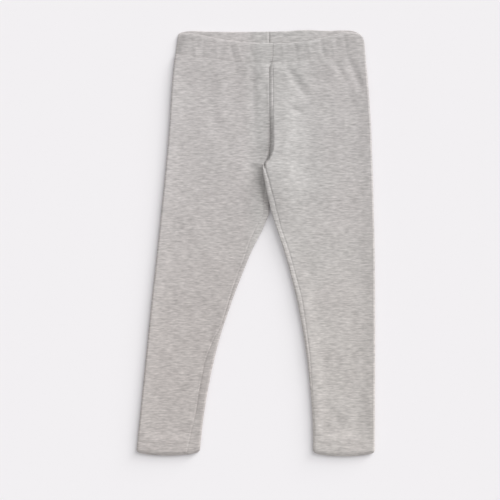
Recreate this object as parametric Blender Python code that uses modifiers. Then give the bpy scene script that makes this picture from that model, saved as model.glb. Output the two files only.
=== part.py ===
"""Child's jersey leggings, laid flat with the front up.

Each leg is cut in one piece. It is folded at its outer side, so that its front lies on its back, and its
two edges meet at the inside leg. The legs are sewn to each other along the front and back rise. A doubled
waistband holds the elastic, and a doubled hem ends each leg. Every piece is a sheet of cloth: a grid that is
rolled round a flat ring, given its wall by Solidify.

Frame: metres, +Z up, +Y towards the waist, +X towards the side that is on the right when the front is up.
The origin is on the surface that the leggings lie on, under the middle of their bounding box.
"""

import math
from collections import namedtuple

import bpy

# Sizes of the whole garment.
LENGTH = 0.581
HEM_DEPTH = 0.0195
SEAM_GAP = 0.0004

# The cloth. A wall is the thickness of one layer, a pile the height of front and back lying together.
LEG_WALL = 0.0012
LEG_PILE = 0.0038
FOLD_PILE = 0.0048
FOLD_PUFF = 0.014
BAND_WALL = 0.0021
BAND_PILE = 0.0052
HEM_WALL = 0.0019
HEM_PILE = 0.0045
HEM_BOW = 0.0003
LEAST_AIR = 0.0004

# The legs are fuller where the elastic gathers them, from just under the band to this far below the waist.
GATHER_STARTS = 0.035
GATHER_ENDS = 0.075
GATHER_FULLNESS = 0.9

# The creases and puckers die away towards the outer fold, over this stretch.
FOLD_CALM = 0.002
FOLD_FREE = 0.012

# The hems' lower edges curve, and the left leg is that much shorter than the right.
HEM_CURVE = 0.0038
LEFT_SHORTER = 0.0010

# The rise. Distances are measured down from the top of the back waistband. Below the crotch the front's inner
# edge turns down to the back, on the right leg by RIGHT_TURNED and on the left one by the fork.
CROTCH = 0.187
RIGHT_TURNED = 0.204
FORK = 0.249
INSIDE_LEG_FULL = 0.300
BACK_SEAM_TOP_X = -0.0060
BACK_SEAM_FORK_X = -0.0032
SEAM_LIP = 0.0006
UNDER_LIP = 0.0003
FORK_BLEND = 0.004

# Between these the rows of a leg run straight across. Above, they turn into the waist seam's skew, and below
# into the hem's curve.
SKEW_ENDS = 0.120
CURVE_STARTS = 0.502

# Ring columns, from the inner edge over the front, round the outer fold and back under.
INNER_COLUMNS = 4
FRONT_COLUMNS = 24
OUTER_COLUMNS = 5
BACK_COLUMNS = 6
# The front's columns lie this much closer than even at both ends, and as much wider in the middle.
CLOSER_AT_ENDS = 0.35

# turned is how far down the front's inner edge has turned all the way to the back.
Side = namedtuple("Side", "name sign turned")
LEFT = Side("left", -1, FORK)
RIGHT = Side("right", 1, RIGHT_TURNED)

# Outer folds: x from the centre front seam, at each distance below the waist.
Edge = namedtuple("Edge", "below left right")
OUTER = [
    Edge(0.000, -0.1276, 0.1192),
    Edge(0.012, -0.1300, 0.1237),
    Edge(0.026, -0.1317, 0.1254),
    Edge(0.040, -0.1340, 0.1266),
    Edge(0.067, -0.1368, 0.1292),
    Edge(0.095, -0.1396, 0.1314),
    Edge(0.122, -0.1416, 0.1332),
    Edge(0.150, -0.1438, 0.1345),
    Edge(0.177, -0.1462, 0.1354),
    Edge(0.204, -0.1488, 0.1362),
    Edge(0.245, -0.1530, 0.1374),
    Edge(0.300, -0.1587, 0.1386),
    Edge(0.368, -0.1662, 0.1390),
    Edge(0.422, -0.1717, 0.1393),
    Edge(0.477, -0.1772, 0.1390),
    Edge(0.532, -0.1828, 0.1388),
    Edge(0.581, -0.1878, 0.1386),
]

# Inner edges of the front: the centre seam, which steps aside under the waistband, its hook at the crotch,
# the touching thighs and the inside legs.
INNER = [
    Edge(0.000, 0.0002, 0.0002),
    Edge(0.037, 0.0002, 0.0002),
    Edge(0.043, -0.0012, -0.0012),
    Edge(0.048, -0.0032, -0.0032),
    Edge(0.056, -0.0036, -0.0036),
    Edge(0.150, -0.0036, -0.0036),
    Edge(0.163, -0.0041, -0.0041),
    Edge(0.171, -0.0050, -0.0050),
    Edge(0.177, -0.0080, -0.0080),
    Edge(0.182, -0.0117, -0.0117),
    Edge(0.187, -0.0136, -0.0136),
    Edge(0.195, -0.0131, -0.0131),
    Edge(0.204, -0.0116, -0.0116),
    Edge(0.217, -0.0088, -0.0088),
    Edge(0.231, -0.0055, -0.0055),
    Edge(0.242, -0.0032, -0.0032),
    Edge(0.250, -0.0050, -0.0010),
    Edge(0.261, -0.0096, 0.0016),
    Edge(0.272, -0.0144, 0.0044),
    Edge(0.299, -0.0284, 0.0130),
    Edge(0.327, -0.0398, 0.0216),
    Edge(0.368, -0.0558, 0.0317),
    Edge(0.422, -0.0737, 0.0420),
    Edge(0.477, -0.0868, 0.0493),
    Edge(0.532, -0.0956, 0.0539),
    Edge(0.581, -0.1003, 0.0549),
]

# The waist, across, as wide as it is at WAIST_SEAM: how far down the top edges and the band's seams lie, on
# the front and on the back.
WAIST_SEAM = 0.030
Waist = namedtuple("Waist", "across front_edge front_seam back_edge back_seam")
WAIST = [
    Waist(-0.132, 0.0046, 0.0325, 0.0036, 0.0325),
    Waist(-0.126, 0.0044, 0.0328, 0.0020, 0.0324),
    Waist(-0.112, 0.0050, 0.0338, 0.0012, 0.0320),
    Waist(-0.090, 0.0084, 0.0364, 0.0020, 0.0312),
    Waist(-0.060, 0.0130, 0.0408, 0.0026, 0.0305),
    Waist(-0.030, 0.0162, 0.0436, 0.0026, 0.0302),
    Waist(0.000, 0.0171, 0.0424, 0.0022, 0.0300),
    Waist(0.022, 0.0164, 0.0432, 0.0016, 0.0298),
    Waist(0.050, 0.0132, 0.0392, 0.0000, 0.0298),
    Waist(0.080, 0.0078, 0.0358, 0.0012, 0.0306),
    Waist(0.098, 0.0038, 0.0352, 0.0004, 0.0320),
    Waist(0.112, 0.0030, 0.0358, 0.0006, 0.0340),
    Waist(0.119, 0.0040, 0.0362, 0.0014, 0.0352),
    Waist(0.123, 0.0062, 0.0364, 0.0040, 0.0359),
    Waist(0.127, 0.0100, 0.0366, 0.0082, 0.0366),
]

# Soft troughs and ridges of the front, each from one point to another, in x and distance below the waist.
Crease = namedtuple("Crease", "side from_x from_below to_x to_below width rise")
CREASES = [
    # Drag lines that fan out from the band over the right hip.
    Crease(RIGHT, 0.0231, 0.0439, 0.0544, 0.0929, 0.0060, -0.0014),
    Crease(RIGHT, 0.0640, 0.0400, 0.0700, 0.0640, 0.0080, -0.0009),
    Crease(RIGHT, 0.0760, 0.0400, 0.0830, 0.0600, 0.0050, 0.0007),
    Crease(RIGHT, 0.0870, 0.0380, 0.0990, 0.0600, 0.0050, -0.0012),
    Crease(RIGHT, 0.1050, 0.0340, 0.1200, 0.0760, 0.0060, -0.0014),
    # A ridge beside the centre seam, and a dimple next to it.
    Crease(RIGHT, 0.0100, 0.0500, 0.0180, 0.1020, 0.0090, 0.0010),
    Crease(RIGHT, 0.0180, 0.1020, 0.0300, 0.2000, 0.0080, 0.0010),
    Crease(RIGHT, 0.0320, 0.1070, 0.0370, 0.1080, 0.0055, -0.0010),
    # The right front stands over the left along the lower rise and the touching thighs.
    Crease(RIGHT, 0.0030, 0.1150, 0.0030, 0.1600, 0.0080, 0.0026),
    Crease(RIGHT, -0.0040, 0.1800, -0.0040, 0.2160, 0.0110, 0.0052),
    Crease(RIGHT, -0.0010, 0.2350, 0.0090, 0.2700, 0.0100, 0.0022),
    Crease(LEFT, -0.0050, 0.1050, -0.0050, 0.1600, 0.0060, -0.0008),
    Crease(LEFT, -0.0140, 0.1720, -0.0040, 0.2380, 0.0085, -0.0026),
    Crease(LEFT, -0.0300, 0.1750, -0.0200, 0.2450, 0.0130, 0.0018),
    # Upright troughs and a ridge over the left thigh.
    Crease(LEFT, -0.0258, 0.0430, -0.0204, 0.0680, 0.0055, -0.0012),
    Crease(LEFT, -0.0210, 0.0720, -0.0235, 0.1000, 0.0055, -0.0009),
    Crease(LEFT, -0.0225, 0.1040, -0.0190, 0.1290, 0.0060, -0.0008),
    Crease(LEFT, -0.0780, 0.1000, -0.0710, 0.1580, 0.0100, -0.0007),
    Crease(LEFT, -0.0620, 0.0650, -0.0600, 0.1150, 0.0080, 0.0007),
    # A ridge inside the right calf, and slack just over the right hem.
    Crease(RIGHT, 0.0420, 0.3400, 0.0600, 0.4600, 0.0080, 0.0009),
    Crease(RIGHT, 0.1300, 0.5050, 0.1140, 0.5480, 0.0070, -0.0009),
    Crease(RIGHT, 0.0680, 0.5050, 0.1060, 0.5330, 0.0070, 0.0007),
    # Slack along the inside seam of the left calf.
    Crease(LEFT, -0.0830, 0.4080, -0.0920, 0.4500, 0.0060, -0.0007),
    Crease(LEFT, -0.1020, 0.4800, -0.1060, 0.5350, 0.0060, -0.0007),
]

# Puckers that the elastic draws in the front of the waistband. Each leans by so much of x for its length.
Pucker = namedtuple("Pucker", "x lean rise")
PUCKER_WIDTH = 0.0045
PUCKERS = [
    Pucker(-0.1080, 0.10, 0.0004),
    Pucker(-0.0930, -0.10, -0.0004),
    Pucker(-0.0770, 0.05, 0.0004),
    Pucker(-0.0590, 0.25, -0.0006),
    Pucker(-0.0500, 0.30, 0.0005),
    Pucker(-0.0330, 0.30, -0.0005),
    Pucker(-0.0150, 0.00, 0.0003),
    Pucker(0.0140, 0.05, 0.0004),
    Pucker(0.0300, 0.15, -0.0004),
    Pucker(0.0480, 0.20, 0.0004),
    Pucker(0.0650, 0.20, -0.0006),
    Pucker(0.0800, 0.15, 0.0005),
    Pucker(0.0960, 0.20, -0.0005),
]

Colour = namedtuple("Colour", "red green blue")
JERSEY = Colour(0.500, 0.485, 0.470)
BAND_CLOTH = Colour(0.490, 0.480, 0.468)
ROUGHNESS = 0.93

# The middle of the bounding box in x, measured from the centre front seam.
MIDDLE_X = (min(row.left for row in OUTER) + max(row.right for row in OUTER)) / 2


def read(table, column, where):
    """A table's column at a given first column, on a smooth curve through its rows."""
    keys = [row[0] for row in table]
    values = [getattr(row, column) for row in table]
    where = min(max(where, keys[0]), keys[-1])
    last = len(keys) - 1
    low = max(i for i in range(last) if keys[i] <= where or i == 0)

    def slope(i):
        before, after = max(i - 1, 0), min(i + 1, last)
        return (values[after] - values[before]) / (keys[after] - keys[before])

    span = keys[low + 1] - keys[low]
    t = (where - keys[low]) / span
    rise = values[low + 1] - values[low]
    start, end = slope(low) * span, slope(low + 1) * span
    return values[low] + t * start + t * t * (3 * rise - 2 * start - end) + t**3 * (start + end - 2 * rise)


def ease(value, low, high):
    """0 below low, 1 above high, and smooth between them."""
    t = min(max((value - low) / (high - low), 0.0), 1.0)
    return t * t * (3 - 2 * t)


def mix(first, second, share):
    return first + (second - first) * share


def crease_rise(side, x, below):
    """How far the creases lift or lower a front at a point."""
    rise = 0.0
    for crease in CREASES:
        if crease.side is not side:
            continue
        run_x, run_y = crease.to_x - crease.from_x, crease.to_below - crease.from_below
        off_x, off_y = x - crease.from_x, below - crease.from_below
        t = (off_x * run_x + off_y * run_y) / (run_x**2 + run_y**2)
        t = min(max(t, 0.0), 1.0)
        away = math.hypot(off_x - t * run_x, off_y - t * run_y)
        rise += crease.rise * math.exp(-((away / crease.width) ** 2))
    return rise


def pucker_rise(x, below):
    """How far the elastic's puckers lift or lower the front of the waistband."""
    rise = 0.0
    for pucker in PUCKERS:
        away = x - pucker.x - pucker.lean * (below - read(WAIST, "front_edge", pucker.x))
        rise += pucker.rise * math.exp(-((away / PUCKER_WIDTH) ** 2))
    return rise


def outer_x(side, below):
    return read(OUTER, side.name, below)


def inner_x(side, below):
    return read(INNER, side.name, below) + side.sign * SEAM_GAP / 2


def leg_height(side, x, below):
    """Height of a leg's front over the surface, where its folds stand a little prouder than its middle."""
    from_outer = abs(outer_x(side, below) - x)
    from_inner = abs(x - inner_x(side, below))
    puff = math.exp(-((from_outer / FOLD_PUFF) ** 2))
    puff += math.exp(-((from_inner / FOLD_PUFF) ** 2)) * ease(below, FORK, INSIDE_LEG_FULL)
    gather = GATHER_FULLNESS * (1 - ease(below, GATHER_STARTS, GATHER_ENDS))
    height = mix(LEG_PILE, FOLD_PILE, min(1.0, puff + gather))
    height += crease_rise(side, x, below) * ease(from_outer, FOLD_CALM, FOLD_FREE)
    return max(height, 2 * LEG_WALL + LEAST_AIR)


def band_height(side, x, below):
    """Height of the waistband's front, which its elastic keeps fuller than the legs."""
    from_outer = abs(outer_x(side, below) - x)
    return BAND_PILE + pucker_rise(x, below) * ease(from_outer, FOLD_CALM, FOLD_FREE)


def hem_height(side, x, below):
    """Height of a hem's front, which bows up a little between its folds."""
    share = (x - inner_x(side, below)) / (outer_x(side, below) - inner_x(side, below))
    return HEM_PILE + HEM_BOW * math.sin(math.pi * min(max(share, 0.0), 1.0))


def ring_point(side, part, t, below, height, wall):
    """(x, z) of the outer face of the cloth, on the ring round a leg or half a waist.

    part is inner, front, outer or back, and t runs from 0 to 1 along it.
    """
    sign = side.sign
    outer, inner = outer_x(side, below), inner_x(side, below)
    fold = height(side, outer, below) / 2
    flat_end = outer - sign * fold
    # The inner edge turns down by a lip at the rise, and all the way to the back below the fork.
    radius = height(side, inner, below) / 2
    full_drop = 2 * radius - wall - SEAM_GAP - UNDER_LIP
    turned = ease(below, CROTCH, side.turned)
    drop = mix(SEAM_LIP, full_drop, turned)
    sweep = math.acos(1 - drop / radius)
    flat_start = inner + sign * radius * math.sin(min(sweep, math.pi / 2))
    if part == "inner":
        angle = sweep * (1 - t)
        top = height(side, flat_start, below)
        return flat_start - sign * radius * math.sin(angle), top - radius * (1 - math.cos(angle))
    if part == "front":
        x = mix(flat_start, flat_end, t)
        return x, height(side, x, below)
    if part == "outer":
        angle = math.pi * t
        return flat_end + sign * fold * math.sin(angle), fold * (1 + math.cos(angle))
    split = ease(below, FORK - FORK_BLEND, FORK + FORK_BLEND)
    back_seam = mix(BACK_SEAM_TOP_X, BACK_SEAM_FORK_X, below / FORK) + sign * SEAM_GAP / 2
    back_end = mix(back_seam, inner + sign * UNDER_LIP, split)
    return mix(flat_end, back_end, t), (UNDER_LIP * split if t == 1 else 0.0)


def ring():
    """The ring's columns, as (part, t)."""

    def closer_at_ends(t):
        return t - CLOSER_AT_ENDS * math.sin(2 * math.pi * t) / (2 * math.pi)

    columns = [("inner", i / INNER_COLUMNS) for i in range(INNER_COLUMNS)]
    columns += [("front", closer_at_ends(i / FRONT_COLUMNS)) for i in range(FRONT_COLUMNS)]
    columns += [("outer", i / OUTER_COLUMNS) for i in range(OUTER_COLUMNS)]
    columns += [("back", i / BACK_COLUMNS) for i in range(BACK_COLUMNS + 1)]
    return columns


def waist_line(side, part, t, line):
    """Distance down to a line of the waist, "edge" or "seam", at a column of the ring."""
    across = {"inner": 0.0, "front": t, "outer": 1.0, "back": 1.0 - t}[part]
    x = mix(inner_x(side, WAIST_SEAM), outer_x(side, WAIST_SEAM), across)
    front = read(WAIST, "front_" + line, x)
    back = read(WAIST, "back_" + line, x)
    to_back = {"inner": 0.0, "front": 0.0, "outer": t, "back": 1.0}[part]
    return mix(front, back, ease(to_back, 0.0, 1.0))


def hem_line(side, part, t):
    """Distance down to a hem's lower edge, which bows out between the folds."""
    across = {"inner": 0.0, "front": t, "outer": 1.0, "back": 1.0 - t}[part]
    lowest = LENGTH - (LEFT_SHORTER if side is LEFT else 0.0)
    return lowest - HEM_CURVE * (2 * across - 1) ** 2


def sheet(name, side, rows, below_at, height, wall, colour):
    """One piece of cloth. below_at(row, part, t) is the distance down at a row and column of its ring."""
    columns = ring()
    bpy.ops.mesh.primitive_grid_add(x_subdivisions=len(columns) - 1, y_subdivisions=rows - 1, size=1)
    piece = bpy.context.object
    piece.name = piece.data.name = name
    for vertex in piece.data.vertices:
        part, t = columns[round((vertex.co.x + 0.5) * (len(columns) - 1))]
        row = round((0.5 - vertex.co.y) * (rows - 1))
        below = below_at(row, part, t)
        x, z = ring_point(side, part, t, below, height, wall)
        vertex.co = (x - MIDDLE_X, LENGTH / 2 - below, z)
    if side is LEFT:
        piece.data.flip_normals()
    piece.data.shade_smooth()
    solid = piece.modifiers.new("wall", "SOLIDIFY")
    solid.thickness = wall
    solid.offset = -1
    solid.use_rim = True
    material = bpy.data.materials.new(name)
    material.use_nodes = True
    shader = material.node_tree.nodes["Principled BSDF"]
    shader.inputs["Base Color"].default_value = (*colour, 1.0)
    shader.inputs["Roughness"].default_value = ROUGHNESS
    shader.inputs["Metallic"].default_value = 0.0
    piece.data.materials.append(material)
    return piece


# Distances below the waist of the leg's rows. They lie closer at the hook of the rise and at the fork.
LEG_ROWS = [
    *(0.032, 0.042, 0.052, 0.062, 0.073, 0.085, 0.098, 0.112, 0.128, 0.145, 0.157),
    *(0.166, 0.173, 0.179, 0.1853, 0.191, 0.197, 0.204, 0.214, 0.225, 0.236, 0.246, 0.254),
    *(0.264, 0.278, 0.295, 0.315, 0.337, 0.360, 0.384, 0.408, 0.432, 0.456, 0.480),
    *(0.502, 0.520, 0.536, 0.549),
]
BAND_ROWS = 5
HEM_ROWS = 3


def leg(side):
    """A leg: one piece of jersey, from the waistband's seam to the hem's."""

    def below_at(row, part, t):
        top = waist_line(side, part, t, "seam") + SEAM_GAP
        bottom = hem_line(side, part, t) - HEM_DEPTH
        nominal = LEG_ROWS[row]
        if nominal < SKEW_ENDS:
            return mix(top, SKEW_ENDS, (nominal - LEG_ROWS[0]) / (SKEW_ENDS - LEG_ROWS[0]))
        if nominal > CURVE_STARTS:
            return mix(CURVE_STARTS, bottom, (nominal - CURVE_STARTS) / (LEG_ROWS[-1] - CURVE_STARTS))
        return nominal

    return sheet("leg_" + side.name, side, len(LEG_ROWS), below_at, leg_height, LEG_WALL, JERSEY)


def waistband(side):
    """Half of the waistband: the casing with the elastic in it, from the centre front to the centre back."""

    def below_at(row, part, t):
        edge = waist_line(side, part, t, "edge")
        seam = waist_line(side, part, t, "seam")
        return mix(edge, seam, row / (BAND_ROWS - 1))

    return sheet("waistband_" + side.name, side, BAND_ROWS, below_at, band_height, BAND_WALL, BAND_CLOTH)


def hem(side):
    """A leg's hem: the cloth turned up inside, so that its wall is doubled."""

    def below_at(row, part, t):
        end = hem_line(side, part, t)
        return mix(end - HEM_DEPTH + SEAM_GAP, end, row / (HEM_ROWS - 1))

    return sheet("hem_" + side.name, side, HEM_ROWS, below_at, hem_height, HEM_WALL, JERSEY)


def clear_scene():
    for obj in list(bpy.data.objects):
        bpy.data.objects.remove(obj, do_unlink=True)


def main():
    clear_scene()
    collection = bpy.data.collections.new("leggings")
    bpy.context.scene.collection.children.link(collection)
    for side in (LEFT, RIGHT):
        for piece in (waistband(side), leg(side), hem(side)):
            for old in list(piece.users_collection):
                old.objects.unlink(piece)
            collection.objects.link(piece)


main()
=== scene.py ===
"""The looks of a child's jersey leggings that lie flat with the front up.

A leg is one piece of jersey and, from the crotch down, a tube: its front runs from the inside seam to the
outer fold, its back lies under it, and the cloth then turns round the inner fold and rises to the seam
again. Between the crotch and the fork the right leg's inner fold lies over the left one's. The waistband and
the hems are doubled cloth.

Lengths are in metres. x is measured from the centre front seam, below is the distance down from the top of
the back waistband, and w is x counted outwards on either leg. A pair such as FOLD_CLOSES is a stretch of
below over which something comes or goes.
"""

import math
from collections import namedtuple

import bmesh
import bpy
import numpy as np
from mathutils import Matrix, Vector


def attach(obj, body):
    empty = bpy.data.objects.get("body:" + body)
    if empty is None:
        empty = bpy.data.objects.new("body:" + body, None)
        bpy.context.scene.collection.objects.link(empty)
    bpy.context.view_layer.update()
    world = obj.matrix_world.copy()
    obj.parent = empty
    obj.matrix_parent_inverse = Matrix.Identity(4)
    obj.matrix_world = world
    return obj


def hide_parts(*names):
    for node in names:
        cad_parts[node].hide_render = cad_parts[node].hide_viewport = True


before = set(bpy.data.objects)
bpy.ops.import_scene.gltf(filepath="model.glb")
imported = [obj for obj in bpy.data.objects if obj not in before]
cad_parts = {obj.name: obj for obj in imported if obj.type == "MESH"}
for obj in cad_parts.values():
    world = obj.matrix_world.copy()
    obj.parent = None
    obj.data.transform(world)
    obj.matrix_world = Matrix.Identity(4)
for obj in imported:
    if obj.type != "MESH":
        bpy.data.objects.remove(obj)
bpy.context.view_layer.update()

# Sizes of the whole garment, and x of the middle of its width, which lies at the frame's origin.
LENGTH = 0.581
HEM_DEPTH = 0.0195
HEM_TOP = LENGTH - HEM_DEPTH
MIDDLE_X = -0.02425

# The cloth. A wall is the thickness of one layer, a pile the height of front and back lying together. At a
# fold it is fuller, which fades over FOLD_PUFF, and a hem bows up in its middle.
LEG_WALL = 0.0011
LEG_PILE = 0.0042
FOLD_PILE = 0.0064
INNER_FOLD_PILE = 0.0060
FOLD_PUFF = 0.014
BAND_WALL = 0.0021
BAND_PILE = 0.0058
HEM_WALL = 0.0019
HEM_PILE = 0.0056
HEM_BOW = 0.0003
LEAST_PILE = 0.0023
LEAST_PILE_ROUNDING = 0.0003
SEAM_GAP = 0.00006

# A dip is so deep in its middle and fades over such a width. These thin the bands and hems at their edges.
Dip = namedtuple("Dip", "depth width")
BAND_EDGE = Dip(0.0006, 0.0026)
LEFT_BAND_SIDE = Dip(0.0030, 0.0066)
RIGHT_BAND_SIDE = Dip(0.0010, 0.0066)
HEM_EDGE = Dip(0.0022, 0.0030)

# Below the waistband's seam its puckers run out, the legs' own creases come up, and the gathers fall calm.
PUCKERS_END = 0.020
CREASES_FULL = 0.010
GATHER_ENDS = 0.040
# How far from an outer fold creases start and are full.
FOLD_CALM = 0.002
FOLD_FREE = 0.012

# A hem's lower edge is lowest in its middle, and a high power of the place across rounds its corners. The
# left leg is a little shorter.
HEM_CURVE = 0.0038
HEM_CORNER = 0.0030
HEM_CORNER_POWER = 12
HEM_BLENDS = (HEM_TOP - 0.014, HEM_TOP - 0.003)
LEFT_SHORTER = 0.0010

# The rise ends at the crotch, and from there to the fork the thighs lie on each other.
CROTCH = 0.181
FORK = 0.249
INSIDE_LEG_FILLS = (FORK, 0.300)
# The centre back's seam, and where the back's edge leaves it and turns up to the crotch. The last stretch of
# the back, BACK_REACH wide, belongs to the columns that go on round the inner fold.
BACK_SEAM_TOP_X = -0.0048
BACK_SEAM_FORK_X = -0.0032
BACK_TURNS_UP = 0.160
BACK_REACH = 0.003
# The inner folds. The left one starts hidden under the right thigh, and the right one lifted onto the left.
HIDDEN_FOLD_X = -0.0046
HIDDEN_FOLD_ENDS = 0.2485
FOLD_CLOSES = (CROTCH - 0.002, CROTCH + 0.002)
THIGH_FOLD_RADIUS = 0.0015
CALF_FOLD_RADIUS = 0.0029
FOLD_WIDENS = (0.280, 0.360)
RIGHT_LIFT = 0.0048
RIGHT_LANDS = (0.228, 0.250)

# A leg's rows. They follow the waistband's seam down to SKEW_ENDS, and the hem's curve from CURVE_STARTS on.
LEG_TOP = 0.032
SKEW_ENDS = 0.120
CURVE_STARTS = 0.502
LEG_BOTTOM = 0.549
ROW_STEP = 0.0022
CLOSE_ROW_STEP = 0.0011
CLOSE_ROWS = (0.150, 0.260)

# The columns of a leg and of half a waist, the rows of a band and of a hem, and how much these crowd towards
# their ends.
LEG_COLUMNS = {"front": 96, "outer": 12, "back": 24, "wrap": 22}
WAIST_COLUMNS = {"front": 150, "outer": 12, "back": 70, "wrap": 0}
BAND_ROWS = 26
HEM_ROWS = 18
COLUMNS_CROWD = 0.75
ROWS_CROWD = 0.8
# The points of the turn round an inner fold, and how often its corners are softened.
QUARTER_POINTS = 10
UPPER_POINTS = 30
WRAP_POINTS = 120
WRAP_SOFTENINGS = 6
# How often a ring is laid, with places across that come nearer each time.
LAYINGS = 2
# The least length that a normal is divided by.
TINY = 1e-9
# Points so near each other are merged, and an edge is shaded sharp from such an angle on, in degrees.
MERGE_WITHIN = 2e-6
CORNER_ANGLE = 50

Side = namedtuple("Side", "name sign")
LEFT = Side("left", -1)
RIGHT = Side("right", 1)

# Outer folds: x at each distance below the waist.
Edge = namedtuple("Edge", "below left right")
OUTER = [
    Edge(0.000, -0.1276, 0.1200),
    Edge(0.012, -0.1300, 0.1245),
    Edge(0.026, -0.1317, 0.1262),
    Edge(0.040, -0.1340, 0.1274),
    Edge(0.067, -0.1368, 0.1300),
    Edge(0.095, -0.1390, 0.1322),
    Edge(0.122, -0.1404, 0.1340),
    Edge(0.150, -0.1426, 0.1353),
    Edge(0.177, -0.1450, 0.1362),
    Edge(0.204, -0.1476, 0.1370),
    Edge(0.245, -0.1518, 0.1382),
    Edge(0.300, -0.1575, 0.1394),
    Edge(0.368, -0.1650, 0.1398),
    Edge(0.422, -0.1705, 0.1401),
    Edge(0.477, -0.1760, 0.1398),
    Edge(0.532, -0.1816, 0.1396),
    Edge(0.581, -0.1866, 0.1394),
]

# The centre front seam down to its hook at the crotch, and below it the legs' inner edges as they show.
INNER = [
    Edge(0.000, 0.0002, 0.0002),
    Edge(0.037, 0.0002, 0.0002),
    Edge(0.043, -0.0014, -0.0014),
    Edge(0.048, -0.0038, -0.0038),
    Edge(0.056, -0.0044, -0.0044),
    Edge(0.112, -0.0042, -0.0042),
    Edge(0.126, -0.0034, -0.0034),
    Edge(0.156, -0.0032, -0.0032),
    Edge(0.168, -0.0040, -0.0040),
    Edge(0.177, -0.0075, -0.0075),
    Edge(0.182, -0.0122, -0.0122),
    Edge(0.187, -0.0136, -0.0136),
    Edge(0.195, -0.0131, -0.0131),
    Edge(0.204, -0.0112, -0.0112),
    Edge(0.217, -0.0088, -0.0088),
    Edge(0.231, -0.0055, -0.0055),
    Edge(0.242, -0.0032, -0.0032),
    Edge(0.250, -0.0050, -0.0010),
    Edge(0.261, -0.0092, 0.0025),
    Edge(0.272, -0.0138, 0.0060),
    Edge(0.299, -0.0277, 0.0152),
    Edge(0.327, -0.0393, 0.0230),
    Edge(0.368, -0.0550, 0.0331),
    Edge(0.422, -0.0727, 0.0433),
    Edge(0.477, -0.0857, 0.0503),
    Edge(0.532, -0.0946, 0.0545),
    Edge(0.581, -0.0996, 0.0552),
]

# How far each inside seam lies outwards from its leg's inner fold.
INSIDE_SEAM = [
    Edge(0.181, 0.0064, 0.0000),
    Edge(0.187, 0.0060, 0.0027),
    Edge(0.194, 0.0056, 0.0045),
    Edge(0.204, 0.0055, 0.0057),
    Edge(0.220, 0.0060, 0.0066),
    Edge(0.234, 0.0072, 0.0073),
    Edge(0.252, 0.0080, 0.0071),
    Edge(0.266, 0.0100, 0.0064),
    Edge(0.279, 0.0103, 0.0064),
    Edge(0.309, 0.0062, 0.0064),
    Edge(0.329, 0.0062, 0.0066),
    Edge(0.351, 0.0054, 0.0069),
    Edge(0.368, 0.0045, 0.0070),
    Edge(0.387, 0.0036, 0.0062),
    Edge(0.403, 0.0036, 0.0055),
    Edge(0.420, 0.0078, 0.0047),
    Edge(0.450, 0.0118, 0.0040),
    Edge(0.470, 0.0120, 0.0028),
    Edge(0.500, 0.0117, 0.0018),
    Edge(0.520, 0.0118, 0.0018),
    Edge(0.567, 0.0170, 0.0018),
    Edge(0.581, 0.0180, 0.0018),
]

# The waist, across, as wide as it is at WAIST_SEAM: how far down the top edges and the band's seams lie.
WAIST_SEAM = 0.030
Waist = namedtuple("Waist", "across front_edge front_seam back_edge back_seam")
WAIST = [
    Waist(-0.132, 0.0046, 0.0325, 0.0036, 0.0325),
    Waist(-0.126, 0.0040, 0.0328, 0.0014, 0.0324),
    Waist(-0.112, 0.0044, 0.0338, 0.0002, 0.0320),
    Waist(-0.090, 0.0080, 0.0364, 0.0008, 0.0312),
    Waist(-0.060, 0.0130, 0.0408, 0.0013, 0.0305),
    Waist(-0.030, 0.0162, 0.0436, 0.0013, 0.0302),
    Waist(0.000, 0.0171, 0.0424, 0.0009, 0.0300),
    Waist(0.022, 0.0170, 0.0432, 0.0003, 0.0298),
    Waist(0.050, 0.0142, 0.0392, -0.0012, 0.0298),
    Waist(0.080, 0.0076, 0.0358, 0.0000, 0.0306),
    Waist(0.098, 0.0034, 0.0352, -0.0007, 0.0320),
    Waist(0.112, 0.0026, 0.0358, -0.0003, 0.0340),
    Waist(0.119, 0.0040, 0.0362, 0.0014, 0.0352),
    Waist(0.123, 0.0062, 0.0364, 0.0040, 0.0359),
    Waist(0.127, 0.0100, 0.0366, 0.0082, 0.0366),
]

# How high both fronts lie where the centre front seam joins them.
Level = namedtuple("Level", "below height")
SEAM_LEVEL = [
    Level(0.030, 0.0052),
    Level(0.050, 0.0053),
    Level(0.075, 0.0058),
    Level(0.100, 0.0058),
    Level(0.115, 0.0052),
    Level(0.130, 0.0044),
    Level(0.145, 0.0042),
    Level(0.165, 0.0046),
    Level(0.176, 0.0066),
    Level(0.187, 0.0068),
]

# How far the right front stands up along the lower rise and over the left thigh.
STAND = [
    Level(0.030, 0.0004),
    Level(0.075, 0.0012),
    Level(0.098, 0.0019),
    Level(0.115, 0.0029),
    Level(0.130, 0.0043),
    Level(0.150, 0.0060),
    Level(0.170, 0.0083),
    Level(0.187, 0.0106),
    Level(0.204, 0.0101),
    Level(0.220, 0.0085),
    Level(0.235, 0.0064),
    Level(0.250, 0.0043),
    Level(0.270, 0.0020),
    Level(0.300, 0.0005),
    Level(0.320, 0.0000),
]
# It stands in full up to one x, which is smaller at the crotch, and not at all from the other x on.
STAND_FULL_TO_X = 0.0130
STAND_FULL_TO_X_LOW = 0.0040
STAND_GONE_BY_X = 0.0560
STAND_NARROWS = (0.150, CROTCH)

# Each front comes down a slope to the level where the centre front seam joins it: how wide that is.
SLOPE_WIDTH = 0.006
STEEP_WIDTH = 0.003
HOOK_WIDTH = 0.022
LEFT_STEEPENS = (0.120, 0.150)
LEFT_WIDENS = (0.160, 0.176)
LEFT_SLOPE_ENDS = (CROTCH, CROTCH + 0.018)
RIGHT_STEEPENS = (0.150, 0.185)
RIGHT_SLOPE_ENDS = (CROTCH, CROTCH + 0.010)

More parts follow.
